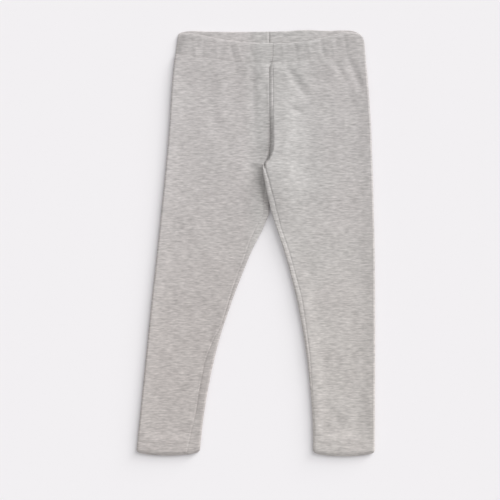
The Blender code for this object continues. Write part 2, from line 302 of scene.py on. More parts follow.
# Soft troughs and ridges of the fronts, each from one point to another, in x and distance below the waist.
Crease = namedtuple("Crease", "side from_x from_below to_x to_below width rise")
CREASES = [
    # Drag lines that fan out from the band over the right hip.
    Crease(RIGHT, 0.0165, 0.0439, 0.0430, 0.0860, 0.0060, -0.0010),
    Crease(RIGHT, 0.0265, 0.0430, 0.0530, 0.0800, 0.0070, 0.0005),
    Crease(RIGHT, 0.0760, 0.0400, 0.0830, 0.0600, 0.0060, 0.0007),
    Crease(RIGHT, 0.0805, 0.0360, 0.0945, 0.0600, 0.0045, -0.0010),
    Crease(RIGHT, 0.1020, 0.0340, 0.1190, 0.0740, 0.0060, -0.0012),
    Crease(RIGHT, 0.1060, 0.0580, 0.1150, 0.0900, 0.0060, 0.0006),
    # A ridge beside the centre seam, and a dimple next to it.
    Crease(RIGHT, 0.0180, 0.1020, 0.0230, 0.1450, 0.0070, 0.0006),
    Crease(RIGHT, 0.0180, 0.1480, 0.0170, 0.1640, 0.0080, 0.0011),
    Crease(RIGHT, 0.0310, 0.1090, 0.0360, 0.1100, 0.0048, -0.0020),
    # Both panels crown gently towards the rise.
    Crease(RIGHT, 0.0030, 0.0450, 0.0030, 0.1100, 0.0170, 0.0013),
    Crease(LEFT, -0.0089, 0.0450, -0.0089, 0.1150, 0.0150, 0.0010),
    # The left thigh sinks under the right one's fold, and stands a little fuller beside the hollow.
    Crease(LEFT, -0.0360, 0.1850, -0.0280, 0.2100, 0.0340, 0.0008),
    Crease(LEFT, -0.0240, 0.1760, -0.0180, 0.1970, 0.0150, -0.0030),
    Crease(LEFT, -0.0085, 0.1800, -0.0045, 0.2300, 0.0090, -0.0036),
    # Upright troughs and a ridge over the left hip.
    Crease(LEFT, -0.0285, 0.0430, -0.0265, 0.0680, 0.0050, -0.0010),
    Crease(LEFT, -0.0268, 0.0720, -0.0275, 0.0960, 0.0055, -0.0007),
    Crease(LEFT, -0.0270, 0.1000, -0.0240, 0.1250, 0.0060, -0.0006),
    Crease(LEFT, -0.0500, 0.0480, -0.0500, 0.0560, 0.0050, -0.0007),
    Crease(LEFT, -0.0820, 0.0900, -0.0760, 0.1300, 0.0090, -0.0005),
    Crease(LEFT, -0.0715, 0.0600, -0.0700, 0.1180, 0.0080, 0.0008),
    # A ridge inside the right calf, and slack just over the right hem.
    Crease(RIGHT, 0.0420, 0.3400, 0.0600, 0.4600, 0.0080, 0.0009),
    Crease(RIGHT, 0.0605, 0.4650, 0.0620, 0.5450, 0.0060, 0.0008),
    Crease(RIGHT, 0.0680, 0.5000, 0.1020, 0.5300, 0.0060, 0.0006),
    Crease(RIGHT, 0.0640, 0.5200, 0.0860, 0.5420, 0.0055, 0.0005),
    Crease(RIGHT, 0.0600, 0.5080, 0.0720, 0.5180, 0.0060, 0.0006),
    Crease(RIGHT, 0.1250, 0.5080, 0.1090, 0.5420, 0.0070, -0.0013),
    # Slack along the inside seam of the left calf.
    Crease(LEFT, -0.0830, 0.4080, -0.0870, 0.4250, 0.0050, -0.0009),
    Crease(LEFT, -0.0930, 0.4430, -0.0960, 0.4600, 0.0050, -0.0009),
    Crease(LEFT, -0.0990, 0.4750, -0.1030, 0.4980, 0.0050, -0.0009),
    Crease(LEFT, -0.1040, 0.5080, -0.1060, 0.5280, 0.0050, -0.0008),
]

# The gentle unevenness of cloth that lies loose: waves across the plane, each with the way it runs.
Wave = namedtuple("Wave", "length angle phase size")
WAVES = [
    Wave(0.047, 20, 0.3, 0.00008),
    Wave(0.031, -35, 1.1, 0.00006),
    Wave(0.026, 65, 2.0, 0.00005),
    Wave(0.060, 95, 0.7, 0.00008),
]

# Puckers that the elastic draws in the front of the waistband. Each leans by so much of x for its length.
Pucker = namedtuple("Pucker", "x lean rise")
PUCKER_WIDTH = 0.0030
PUCKERS = [
    Pucker(-0.1080, 0.10, 0.0004),
    Pucker(-0.0930, -0.10, -0.0004),
    Pucker(-0.0770, 0.05, 0.0004),
    Pucker(-0.0590, 0.25, -0.0005),
    Pucker(-0.0500, 0.30, 0.0004),
    Pucker(-0.0330, 0.30, -0.0004),
    Pucker(-0.0150, 0.00, 0.0003),
    Pucker(0.0140, 0.05, 0.0004),
    Pucker(0.0300, 0.15, -0.0004),
    Pucker(0.0480, 0.20, 0.0004),
    Pucker(0.0650, 0.20, -0.0005),
    Pucker(0.0800, 0.15, 0.0004),
    Pucker(0.0960, 0.20, -0.0004),
]
# Stretches where the front's top edge stands off the back.
Lift = namedtuple("Lift", "x width rise")
EDGE_LIFTS = [
    Lift(-0.1020, 0.0180, 0.0010),
    Lift(0.0340, 0.0150, 0.0010),
    Lift(0.0960, 0.0100, 0.0008),
]
EDGE_LIFT_DEPTH = 0.012

# A groove runs along each seam, but not along the back's edge where it turns up to the crotch.
SEAM_GROOVE = Dip(0.00045, 0.0011)
HEM_GROOVE = Dip(0.0004, 0.0011)
LEG_TOP_DIP = Dip(0.00015, 0.0030)
BACK_PLAIN = (BACK_TURNS_UP - 0.006, BACK_TURNS_UP)
BACK_PLAIN_ENDS = (CROTCH - 0.001, CROTCH + 0.004)
# The rise's seam pulls in deeper above the crotch, and the right inside seam below it, by so many depths.
RISE_DEEPER = 1.8
RISE_DEEPENS = (0.112, 0.130)
RISE_ENDS = (0.172, 0.186)
INSIDE_DEEPER = 1.2
INSIDE_DEEPENS = (CROTCH, CROTCH + 0.004)
INSIDE_ENDS = (0.215, 0.240)
# A wider trough lies along either side of the low rise.
TROUGH_WIDTH = 0.0026
TROUGH_STARTS = (0.112, 0.140)
LEFT_TROUGH = 0.0004
LEFT_TROUGH_LOW = 0.0018
LEFT_TROUGH_DEEPENS = (0.148, 0.164)
RIGHT_TROUGH = 0.0012

# The centre front's allowances are pressed to the right. They lift the front at such distances from the
# seam, and a line runs along their edge.
ALLOWANCE_RISE = 0.00045
ALLOWANCE_STARTS = (0.045, 0.049)
ALLOWANCE_ENDS = (0.118, 0.133)
ALLOWANCE_FULL_AT = 0.0015
ALLOWANCE_DROPS_AT = (0.0038, 0.0052)
ALLOWANCE_LINE = Dip(0.0005, 0.0008)
ALLOWANCE_LINE_AT = 0.0048

# Doubled cloth thins within such distances: to nothing at its fold and its ends, to SEAM_SHARE at its seam.
CASING_FOLD = 0.0013
CASING_SEAM = 0.0030
SEAM_SHARE = 0.90
CASING_END = 0.0009
# The hems' stitching presses a line in, so far from the seam.
HEM_STITCHING = Dip(0.0004, 0.0010)
HEM_STITCHING_AT = 0.0036
# Two lines on the left half band, so far from the centre back's seam: the edge of the covered strip there,
# and a crease. Each thins the band by a share.
BackLine = namedtuple("BackLine", "at share width")
BACK_LINES = [
    BackLine(0.0056, 0.35, 0.0009),
    BackLine(0.0250, 0.40, 0.0010),
]

# How far either side's cloth lies from the middle of the heather's pattern. A leg and its hem are one cloth.
LEG_CLOTH_AT = 0.7
BAND_CLOTH_AT = 1.7


def mix(first, second, share):
    """first at a share of 0, and second at 1."""
    return first + (second - first) * share


def ease(value, low, high):
    """0 below low, 1 above high, and smooth between them."""
    t = np.clip((value - low) / (high - low), 0.0, 1.0)
    return t * t * (3 - 2 * t)


def between(value, starts, ends):
    """0 at first, 1 after the stretch where it starts, and 0 again after the one where it ends."""
    return ease(value, *starts) * (1 - ease(value, *ends))


def hump(away, width):
    """1 at nothing away, falling to nothing at a few widths."""
    return np.exp(-((away / width) ** 2))


def sunk(dip, away):
    """How deep a dip is at a distance from its middle."""
    return dip.depth * hump(away, dip.width)


def rounding(share):
    """The height of a quarter circle from its foot, 0, to its top, 1 and beyond."""
    return np.sqrt(1 - (1 - np.clip(share, 0.0, 1.0)) ** 2)


def crowded(shares, closer):
    """Shares from 0 to 1 drawn closer together towards both ends."""
    return shares - closer * np.sin(2 * np.pi * shares) / (2 * np.pi)


def read(table, column, where):
    """A table's column at given values of its first, on a smooth curve through its rows."""
    keys = np.array([row[0] for row in table])
    values = np.array([getattr(row, column) for row in table])
    where = np.clip(where, keys[0], keys[-1])
    low = np.clip(np.searchsorted(keys, where, side="right") - 1, 0, len(keys) - 2)
    before = np.maximum(np.arange(len(keys)) - 1, 0)
    after = np.minimum(np.arange(len(keys)) + 1, len(keys) - 1)
    slope = (values[after] - values[before]) / (keys[after] - keys[before])
    span = keys[low + 1] - keys[low]
    t = (where - keys[low]) / span
    rise = values[low + 1] - values[low]
    start, end = slope[low] * span, slope[low + 1] * span
    return values[low] + t * start + t**2 * (3 * rise - 2 * start - end) + t**3 * (start + end - 2 * rise)


def outer_w(side, below):
    """The leg's outer fold, and the waistband's."""
    return side.sign * read(OUTER, side.name, below)


def fold_w(side, below):
    """The leg's inner fold. The left one's starts hidden under the right thigh."""
    shown = side.sign * read(INNER, side.name, below)
    if side is RIGHT:
        return shown
    return np.where(below < HIDDEN_FOLD_ENDS, -HIDDEN_FOLD_X, shown)


def seam_w(side, below):
    """Where the front starts: the centre front seam, and from the crotch down the inside seam."""
    rise = side.sign * read(INNER, side.name, below) + SEAM_GAP / 2
    inside = fold_w(side, below) + read(INSIDE_SEAM, side.name, below)
    return np.where(below < CROTCH, rise, inside)


def fold_lift(side, below):
    """How high the underside of the inner fold lies: the right one's on the left thigh."""
    if side is LEFT:
        return np.zeros_like(below)
    return RIGHT_LIFT * (1 - ease(below, *RIGHT_LANDS))


def crease_rise(side, x, below):
    """How far a front's creases lift it."""
    rise = 0.0
    for crease in CREASES:
        if crease.side is not side:
            continue
        run_x, run_y = crease.to_x - crease.from_x, crease.to_below - crease.from_below
        off_x, off_y = x - crease.from_x, below - crease.from_below
        t = np.clip((off_x * run_x + off_y * run_y) / (run_x**2 + run_y**2), 0.0, 1.0)
        rise = rise + crease.rise * hump(np.hypot(off_x - t * run_x, off_y - t * run_y), crease.width)
    return rise


def wave_rise(x, below):
    """How far the cloth's unevenness lifts it."""
    rise = 0.0
    for wave in WAVES:
        turn = math.radians(wave.angle)
        along = x * math.cos(turn) + below * math.sin(turn)
        rise = rise + wave.size * np.sin(2 * math.pi * along / wave.length + wave.phase)
    return rise


def pucker_rise(x, below):
    """How far the waistband's puckers lift the front."""
    rise = 0.0
    for pucker in PUCKERS:
        away = x - pucker.x - pucker.lean * (below - read(WAIST, "front_edge", pucker.x))
        rise = rise + pucker.rise * hump(away, PUCKER_WIDTH)
    return rise


def stand_rise(x, below):
    """How far the right front stands up beside the rise and over the left thigh."""
    full_to_x = mix(STAND_FULL_TO_X, STAND_FULL_TO_X_LOW, ease(below, *STAND_NARROWS))
    return read(STAND, "height", below) * (1 - ease(x, full_to_x, STAND_GONE_BY_X))


def band_height(side, w, below):
    """Height of the waistband's front."""
    x = side.sign * w
    lift = sum(item.rise * hump(x - item.x, item.width) for item in EDGE_LIFTS)
    from_edge = below - read(WAIST, "front_edge", x)
    loose = pucker_rise(x, below) + lift * (1 - ease(from_edge, 0.0, EDGE_LIFT_DEPTH))
    from_outer = outer_w(side, below) - w
    rim = sunk(BAND_EDGE, from_edge) + sunk(LEFT_BAND_SIDE if side is LEFT else RIGHT_BAND_SIDE, from_outer)
    return BAND_PILE + loose * ease(from_outer, FOLD_CALM, FOLD_FREE) - rim


def hem_height(side, w, below):
    """Height of a hem's front."""
    inner, outer = fold_w(side, below), outer_w(side, below)
    share = np.clip((w - inner) / (outer - inner), 0.0, 1.0)
    rim = sunk(HEM_EDGE, hem_line(side, share) - below)
    return HEM_PILE + HEM_BOW * np.sin(math.pi * share) - rim


def joined(side, w, below):
    """How far a front has come to the centre front seam's level: 0 at its slope's top, 1 at the seam."""
    if side is LEFT:
        width = mix(SLOPE_WIDTH, STEEP_WIDTH, ease(below, *LEFT_STEEPENS))
        width = mix(width, HOOK_WIDTH, ease(below, *LEFT_WIDENS))
        ended = ease(below, *LEFT_SLOPE_ENDS)
    else:
        width = mix(SLOPE_WIDTH, STEEP_WIDTH, ease(below, *RIGHT_STEEPENS))
        ended = ease(below, *RIGHT_SLOPE_ENDS)
    near = np.clip(np.abs(w - seam_w(side, below)) / width, 0.0, 1.0)
    return (1 - ended) * np.cos(near * math.pi / 2) ** 2


def leg_height(side, w, below):
    """Height of a leg's front."""
    x = side.sign * w
    from_outer = outer_w(side, below) - w
    height = LEG_PILE + (FOLD_PILE - LEG_PILE) * hump(from_outer, FOLD_PUFF)
    inside = hump(w - fold_w(side, below), FOLD_PUFF) * ease(below, *INSIDE_LEG_FILLS)
    height = height + (INNER_FOLD_PILE - LEG_PILE) * inside
    loose = crease_rise(side, x, below) + wave_rise(x, below)
    if side is RIGHT:
        loose = loose + stand_rise(x, below)
    # The gathered cloth under the waistband stands as high as the band.
    from_band = below - read(WAIST, "front_seam", x)
    height = mix(BAND_PILE, height, ease(from_band, 0.0, GATHER_ENDS))
    puckers = pucker_rise(x, below) * (1 - ease(from_band, 0.0, PUCKERS_END))
    loose = mix(puckers, loose, ease(from_band, 0.0, CREASES_FULL))
    height = height + loose * ease(from_outer, FOLD_CALM, FOLD_FREE)
    height = mix(height, read(SEAM_LEVEL, "height", below), joined(side, w, below))
    height = mix(height, hem_height(side, w, below), ease(below, *HEM_BLENDS))
    # A soft floor under the height keeps front and back apart.
    spare = np.logaddexp(0.0, (height - LEAST_PILE) / LEAST_PILE_ROUNDING)
    return LEAST_PILE + LEAST_PILE_ROUNDING * spare


class Ring:
    """The columns round a leg or half a waist: over the front, round the outer fold, along the back, and, on
    a leg, as its wrap round the inner fold.

    t gives a part's columns their shares of the way along it, and part the slice that they take up. across
    says where a column lies between the inner edge, 0, and the outer one, 1, and to_back whether it is on
    the front, 0, or on the back, 1.
    """

    def __init__(self, columns):
        names = [name for name, count in columns.items() if count]
        self.t, self.part = {}, {}
        start, across, to_back = 0, [], []
        for name in names:
            size = columns[name] + (name == names[-1])
            t = np.arange(size) / columns[name]
            if name == "front":
                t = crowded(t, COLUMNS_CROWD)
            self.t[name], self.part[name] = t, slice(start, start + size)
            across.append({"front": t, "outer": 0 * t + 1, "back": 1 - t, "wrap": 0 * t}[name])
            to_back.append({"front": 0 * t, "outer": t, "back": 0 * t + 1, "wrap": 0 * t + 1}[name])
            start += size
        self.across, self.to_back = np.concatenate(across), np.concatenate(to_back)


def fold_radius(side, below, top):
    """The radius of the inner fold: half its height, up to the greatest that it has there."""
    greatest = mix(THIGH_FOLD_RADIUS, CALF_FOLD_RADIUS, ease(below, *FOLD_WIDENS))
    return np.minimum((top - fold_lift(side, below)) / 2, greatest)


def front_top(side, w, below, height):
    """Height of the front's outer face, which rounds off at the inner fold."""
    top = height(side, w, below)
    radius = fold_radius(side, below, top)
    closed = ease(below, *FOLD_CLOSES)
    share = (w - fold_w(side, below)) / radius
    return top - radius * (1 - rounding(share)) * closed


def resampled(path, along, wanted):
    """Points at the wanted distances along each row's path. The path is (2, rows, points)."""
    return np.array([[np.interp(*row) for row in zip(wanted, along, line)] for line in path])


def lengths(path):
    """Distance along each row's path from its first point."""
    steps = np.hypot(*np.diff(path, axis=2))
    return np.concatenate([np.zeros((len(steps), 1)), np.cumsum(steps, axis=1)], axis=1)


def wrap(side, below, height, shares):
    """(w, z) at shares of the way from the back, round the inner fold, to the inside seam, for each row."""
    below = below[:, None]
    fold, seam, lift = fold_w(side, below), seam_w(side, below), fold_lift(side, below)
    radius = fold_radius(side, below, height(side, fold, below))
    foot = back_end_w(side, below, height)
    turn_from = np.minimum(foot, fold + radius)
    quarter = np.linspace(0, math.pi / 2, QUARTER_POINTS)[None, :]
    turn_w = fold + (turn_from - fold) * (1 - np.sin(quarter))
    turn_z = lift + radius * (1 - np.cos(quarter))
    upper = fold + (seam - fold) * np.linspace(0, 1, UPPER_POINTS)[1:] ** 2
    path_w = [foot + BACK_REACH, foot, foot, turn_w, upper]
    path_z = [0 * foot, 0 * foot, lift, turn_z, front_top(side, upper, below, height)]
    path = np.array([np.concatenate(path_w, axis=1), np.concatenate(path_z, axis=1)])
    along = lengths(path)
    path = resampled(path, along, along[:, -1:] * np.linspace(0, 1, WRAP_POINTS))
    # The corners under the right thigh are softened.
    soft = ((side is RIGHT) & (below > BACK_TURNS_UP) & (below < RIGHT_LANDS[1]))[:, 0]
    for _ in range(WRAP_SOFTENINGS):
        path[:, soft, 1:-1] = (path[:, soft, :-2] + 2 * path[:, soft, 1:-1] + path[:, soft, 2:]) / 4
    # Above the crotch the rows end where the back does, and below it they go the whole way.
    along = lengths(path)
    turned = ease(below, BACK_TURNS_UP, CROTCH)
    used = BACK_REACH + turned * (along[:, -1:] - BACK_REACH)
    return resampled(path, along, used * shares)


def back_end_w(side, below, height):
    """Where the back ends on the ground: the centre back seam, or the foot of the inner fold."""
    centre = side.sign * mix(BACK_SEAM_TOP_X, BACK_SEAM_FORK_X, np.minimum(below / FORK, 1.0)) + SEAM_GAP / 2
    fold = fold_w(side, below)
    foot = np.maximum(centre, fold + fold_radius(side, below, height(side, fold, below)))
    return mix(centre, foot, ease(below, BACK_TURNS_UP, CROTCH))


def outline(side, ring, below, height):
    """(w, z) of the outer face at every row and column."""
    w, z = np.zeros_like(below), np.zeros_like(below)
    outer = outer_w(side, below)
    radius = height(side, outer, below) / 2
    part = ring.part["front"]
    w[:, part] = mix(seam_w(side, below[:, part]), (outer - radius)[:, part], ring.t["front"])
    z[:, part] = front_top(side, w[:, part], below[:, part], height)
    part = ring.part["outer"]
    angle = math.pi * ring.t["outer"]
    w[:, part] = outer[:, part] - radius[:, part] * (1 - np.sin(angle))
    z[:, part] = radius[:, part] * (1 + np.cos(angle))
    part = ring.part["back"]
    reach = BACK_REACH if "wrap" in ring.part else 0.0
    back_end = back_end_w(side, below[:, part], height) + reach
    w[:, part] = mix((outer - radius)[:, part], back_end, ring.t["back"])
    if "wrap" in ring.part:
        part = ring.part["wrap"]
        w[:, part], z[:, part] = wrap(side, below[:, part][:, 0], height, ring.t["wrap"])
    return w, z


def lay(side, ring, below_at, height):
    """below, w and z of the outer face, and which rows close to a ring.

    below_at gives the rows' distances down for places across.
    """
    across = ring.across[None, :]
    for _ in range(LAYINGS):
        below = below_at(across)
        w, z = outline(side, ring, below, height)
        inner, outer = fold_w(side, below), outer_w(side, below)
        across = np.clip((w - inner) / (outer - inner), 0.0, 1.0)
    closed = (below[:, 0] >= CROTCH) & ("wrap" in ring.part)
    w[closed, -1], z[closed, -1], below[closed, -1] = w[closed, 0], z[closed, 0], below[closed, 0]
    return below, w, z, closed


def waist_line(side, ring, across, line):
    """Distance down to a line of the waist, "edge" or "seam", at each column."""
    x = side.sign * mix(seam_w(side, WAIST_SEAM), outer_w(side, WAIST_SEAM), across)
    front, back = read(WAIST, "front_" + line, x), read(WAIST, "back_" + line, x)
    return mix(front, back, ease(ring.to_back, 0.0, 1.0))


def hem_line(side, across):
    """Distance down to a hem's lower edge, which bows out between the folds."""
    lowest = LENGTH - (LEFT_SHORTER if side is LEFT else 0.0)
    return lowest - HEM_CURVE * (2 * across - 1) ** 2


def normals(w, z, closed):
    """The outer face's unit normals in its ring's plane."""
    dw, dz = np.gradient(w, axis=1), np.gradient(z, axis=1)
    for edge in (0, -1):
        dw[closed, edge] = (w[closed, 1] - w[closed, -2]) / 2
        dz[closed, edge] = (z[closed, 1] - z[closed, -2]) / 2
    size = np.maximum(np.hypot(dw, dz), TINY)
    return -dz / size, dw / size


def places(side, w, below, z):
    """The points in the frame, rows by columns by xyz."""
    return np.stack([side.sign * w - MIDDLE_X, LENGTH / 2 - below, z], axis=-1)


def cloth_uv(side, ring, w, z, below, shift):
    """Metres across and down the cloth, which lies square to the leg's front."""
    along = lengths(np.array([w, z]))
    middle = ring.part["front"].stop // 2
    u = side.sign * (w[:, middle] + (along - along[:, middle : middle + 1]).T).T
    return np.stack([u + shift, shift - below], axis=-1)


def sheet_object(name, points, uv, flip):
    """A grid primitive moved onto the points, rows by columns, with its UV map in metres."""
    rows, columns = points.shape[:2]
    bpy.ops.object.select_all(action="DESELECT")
    bpy.ops.mesh.primitive_grid_add(x_subdivisions=columns - 1, y_subdivisions=rows - 1, size=1)
    piece = bpy.context.object
    piece.name = piece.data.name = name
    mesh = piece.data
    at = np.zeros(len(mesh.vertices) * 3, np.float32)
    mesh.vertices.foreach_get("co", at)
    at = at.reshape(-1, 3)
    column = np.rint((at[:, 0] + 0.5) * (columns - 1)).astype(int)
    row = np.rint((0.5 - at[:, 1]) * (rows - 1)).astype(int)
    mesh.vertices.foreach_set("co", points[row, column].astype(np.float32).ravel())
    corner = np.zeros(len(mesh.loops), np.int32)
    mesh.loops.foreach_get("vertex_index", corner)
    layer = mesh.uv_layers[0]
    layer.name = "cloth"
    layer.data.foreach_set("uv", uv[row[corner], column[corner]].astype(np.float32).ravel())
    if flip:
        mesh.flip_normals()
    mesh.shade_smooth()
    mesh.update()
    return piece, row


def merge(piece, outward=False):
    """Joins the points that lie on each other, and turns the faces outward on request."""
    shape = bmesh.new()
    shape.from_mesh(piece.data)
    bmesh.ops.remove_doubles(shape, verts=shape.verts, dist=MERGE_WITHIN)
    if outward:
        bmesh.ops.recalc_face_normals(shape, faces=shape.faces)
    shape.to_mesh(piece.data)
    shape.free()
    piece.data.update()


def smooth_but_for_corners(piece):
    """Shades the piece smooth, except where its faces meet at a sharp angle."""
    bpy.ops.object.select_all(action="DESELECT")
    piece.select_set(True)
    bpy.context.view_layer.objects.active = piece
    bpy.ops.object.shade_smooth_by_angle(angle=math.radians(CORNER_ANGLE))


def leg_rows():
    """Nominal distances down to a leg's rows, closer together round the crotch and the fork."""
    close_from, close_to = CLOSE_ROWS
    above = np.arange(LEG_TOP, close_from, ROW_STEP)
    close = np.arange(close_from, close_to, CLOSE_ROW_STEP)
    below = np.arange(close_to, LEG_BOTTOM - ROW_STEP / 2, ROW_STEP)
    return np.concatenate([above, close, below, [LEG_BOTTOM]])


def seam_relief(side, below, from_start, from_end):
    """How far a leg's seams and allowances move its outer face, by the distances round it from its edges."""
    deeper = 1 + RISE_DEEPER * between(below, RISE_DEEPENS, RISE_ENDS)
    if side is LEFT:
        trough = mix(LEFT_TROUGH, LEFT_TROUGH_LOW, ease(below, *LEFT_TROUGH_DEEPENS))
    else:
        trough = RIGHT_TROUGH
        deeper = deeper + INSIDE_DEEPER * between(below, INSIDE_DEEPENS, INSIDE_ENDS)
    relief = -deeper * sunk(SEAM_GROOVE, from_start)
    relief = relief - (1 - between(below, BACK_PLAIN, BACK_PLAIN_ENDS)) * sunk(SEAM_GROOVE, from_end)
    relief = relief - trough * between(below, TROUGH_STARTS, RISE_ENDS) * hump(from_start, TROUGH_WIDTH)
    if side is RIGHT:
        step = ease(from_start, 0.0, ALLOWANCE_FULL_AT) * (1 - ease(from_start, *ALLOWANCE_DROPS_AT))
        line = sunk(ALLOWANCE_LINE, from_start - ALLOWANCE_LINE_AT)
        relief = relief + between(below, ALLOWANCE_STARTS, ALLOWANCE_ENDS) * (ALLOWANCE_RISE * step - line)
    # The top dips a little into the waistband's seam.
    return relief - sunk(LEG_TOP_DIP, below - below[0])


def leg(side):
    """A leg: one piece of jersey, from the waistband's seam to the hem's."""
    ring = Ring(LEG_COLUMNS)
    nominal = leg_rows()[:, None]

    def below_at(across):
        top = waist_line(side, ring, across, "seam") + SEAM_GAP
        bottom = hem_line(side, across) - HEM_DEPTH
        skewed = mix(top, SKEW_ENDS, (nominal - LEG_TOP) / (SKEW_ENDS - LEG_TOP))
        curved = mix(CURVE_STARTS, bottom, (nominal - CURVE_STARTS) / (LEG_BOTTOM - CURVE_STARTS))
        straight = nominal + 0 * across
        return np.where(nominal < SKEW_ENDS, skewed, np.where(nominal > CURVE_STARTS, curved, straight))

    below, w, z, closed = lay(side, ring, below_at, leg_height)
    uv = cloth_uv(side, ring, w, z, below, LEG_CLOTH_AT * side.sign)
    along = lengths(np.array([w, z]))
    relief = seam_relief(side, below, along, along[:, -1:] - along)
    normal_w, normal_z = normals(w, z, closed)
    w, z = w + relief * normal_w, z + relief * normal_z
    points = places(side, w, below, z)
    points[closed, -1] = points[closed, 0]
    piece, _ = sheet_object("jersey_leg_" + side.name, points, uv, side is LEFT)
    merge(piece)
    solid = piece.modifiers.new("wall", "SOLIDIFY")
    solid.thickness, solid.offset, solid.use_rim = LEG_WALL, -1, True
    bpy.ops.object.modifier_apply(modifier=solid.name)
    # No inner face dips below the surface that the leg lies on.
    for vertex in piece.data.vertices:
        vertex.co.z = max(vertex.co.z, 0.0)
    smooth_but_for_corners(piece)
    return piece


def casing(name, side, ring, rows, below_at, height, wall, ends, shift):
    """A band of doubled cloth. Its rows run from its fold along the outer face to the seam, and back inside.

    below_at gives the distances down for shares from the fold, 0, to the seam, 1. ends says whether the band
    has two ends that show, or closes round a leg.
    """
    shares = crowded(np.arange(rows) / (rows - 1), ROWS_CROWD)[:, None]
    below, w, z, closed = lay(side, ring, lambda across: below_at(shares, across), height)
    uv = cloth_uv(side, ring, w, z, below, shift)
    from_start = lengths(np.array([w, z]))
    from_end = from_start[:, -1:] - from_start
    from_fold, from_seam = np.abs(below - below[0]), np.abs(below - below[-1])
    thick = rounding(from_fold / CASING_FOLD) * mix(SEAM_SHARE, 1.0, rounding(from_seam / CASING_SEAM))
    if ends:
        thick = thick * rounding(from_start / CASING_END) * rounding(from_end / CASING_END)
        if side is LEFT:
            thinner = sum(line.share * hump(from_end - line.at, line.width) for line in BACK_LINES)
            thick = thick * (1 - thinner)
        relief = 0.0
    else:
        relief = -sunk(HEM_GROOVE, from_start) - sunk(HEM_GROOVE, from_end)
        relief = relief - sunk(HEM_STITCHING, from_seam - HEM_STITCHING_AT)
    normal_w, normal_z = normals(w, z, closed)
    faces = []
    for turn in (1, -1):
        off = relief - wall / 2 * (1 - turn * thick)
        face = places(side, w + off * normal_w, below, z + off * normal_z)
        face[closed, -1] = face[closed, 0]
        faces.append(face if turn == 1 else face[::-1])
    points = np.concatenate(faces)
    piece, row = sheet_object(name, points, np.concatenate([uv, uv[::-1]]), side is LEFT)
    inside = row >= rows
    for polygon in piece.data.polygons:
        polygon.material_index = int(all(inside[i] for i in polygon.vertices))
    merge(piece, outward=True)
    smooth_but_for_corners(piece)
    return piece


def waistband(side):
    """Half of the waistband, from the centre front to the centre back."""
    name, ring, shift = "jersey_band_" + side.name, Ring(WAIST_COLUMNS), BAND_CLOTH_AT * side.sign

    def below_at(share, across):
        return mix(waist_line(side, ring, across, "edge"), waist_line(side, ring, across, "seam"), share)

    return casing(name, side, ring, BAND_ROWS, below_at, band_height, BAND_WALL, True, shift)


def hem(side):
    """A leg's hem: the cloth turned up inside, so that its wall is doubled."""
    name, ring, shift = "jersey_hem_" + side.name, Ring(LEG_COLUMNS), LEG_CLOTH_AT * side.sign

    def below_at(share, across):
        end = hem_line(side, across)
        corner = HEM_CORNER * (2 * across - 1) ** HEM_CORNER_POWER
        return mix(end - corner, end - HEM_DEPTH + SEAM_GAP, share)

    return casing(name, side, ring, HEM_ROWS, below_at, hem_height, HEM_WALL, False, shift)


# --- Materials -------------------------------------------------------------------------------------------


class Socket:
    """An output in a finish's node tree. Arithmetic on it adds Math nodes."""

    def __init__(self, finish, end):
        self.finish, self.end = finish, end

    def math(self, operation, *values):
        names = ("Value", "Value_001", "Value_002")
        return self.finish.add("ShaderNodeMath", {"operation": operation}, dict(zip(names, values)))

    def __add__(self, other):
        return self.math("ADD", self, other)

    def __sub__(self, other):
        return self.math("SUBTRACT", self, other)

    def __rsub__(self, other):
        return self.math("SUBTRACT", other, self)

    def __mul__(self, other):
        return self.math("MULTIPLY", self, other)

    __radd__ = __add__
    __rmul__ = __mul__

    def floor(self):
        return self.math("FLOOR", self)

    def fraction(self):
        return self.math("FRACT", self)

    def absolute(self):
        return self.math("ABSOLUTE", self)

    def cosine(self):
        return self.math("COSINE", self)

    def above(self, low, high):
        """0 up to low and 1 from high, and smooth between them."""
        return self.finish.add(
            "ShaderNodeMapRange",
            {"interpolation_type": "SMOOTHSTEP"},
            {"Value": self, "From Min": low, "From Max": high},
        )


class Finish:
    """A material, and the one way to add nodes to it."""

    def __init__(self, name, **constants):
        self.material = bpy.data.materials.new(name)
        self.material.use_nodes = True
        self.tree = self.material.node_tree
        self.shader = self.tree.nodes["Principled BSDF"]
        for key, value in constants.items():
            self.shader.inputs[key.replace("_", " ")].default_value = value

    def add(self, kind, settings, values, output=0):
        node = self.tree.nodes.new(kind)
        for key, value in settings.items():
            setattr(node, key, value)
        ends = {end.identifier: end for end in node.inputs}
        for key, value in values.items():
            self.put(ends[key], value)
        return Socket(self, node.outputs[output])

    def put(self, end, value):
        if isinstance(value, Socket):
            self.tree.links.new(value.end, end)
        else:
            end.default_value = value

    def feed(self, name, value):
        self.put(self.shader.inputs[name], value)

    def mix_colours(self, share, first, second, blend="MIX"):
        values = {"Factor_Float": share, "A_Color": first, "B_Color": second}
        return self.add("ShaderNodeMix", {"data_type": "RGBA", "blend_type": blend}, values, output=2)

    def noise(self, x, y):
        """Noise about 0, with blots of about 1."""
        place = self.add("ShaderNodeCombineXYZ", {}, {"X": x, "Y": y})
        values = {"Vector": place, "Scale": 1.0, "Detail": 1.0, "Roughness": 0.5}
        return self.add("ShaderNodeTexNoise", {"noise_dimensions": "2D"}, values) - 0.5


# The knit: the size of a stitch, how many courses its limbs lean by, and the share of its relief that the
# loops make.
COURSE = 0.00052
WALE = 0.00072
STITCH_DEPTH = 0.00010
LOOP_LEAN = 0.55
LOOP_SHARE = 0.45

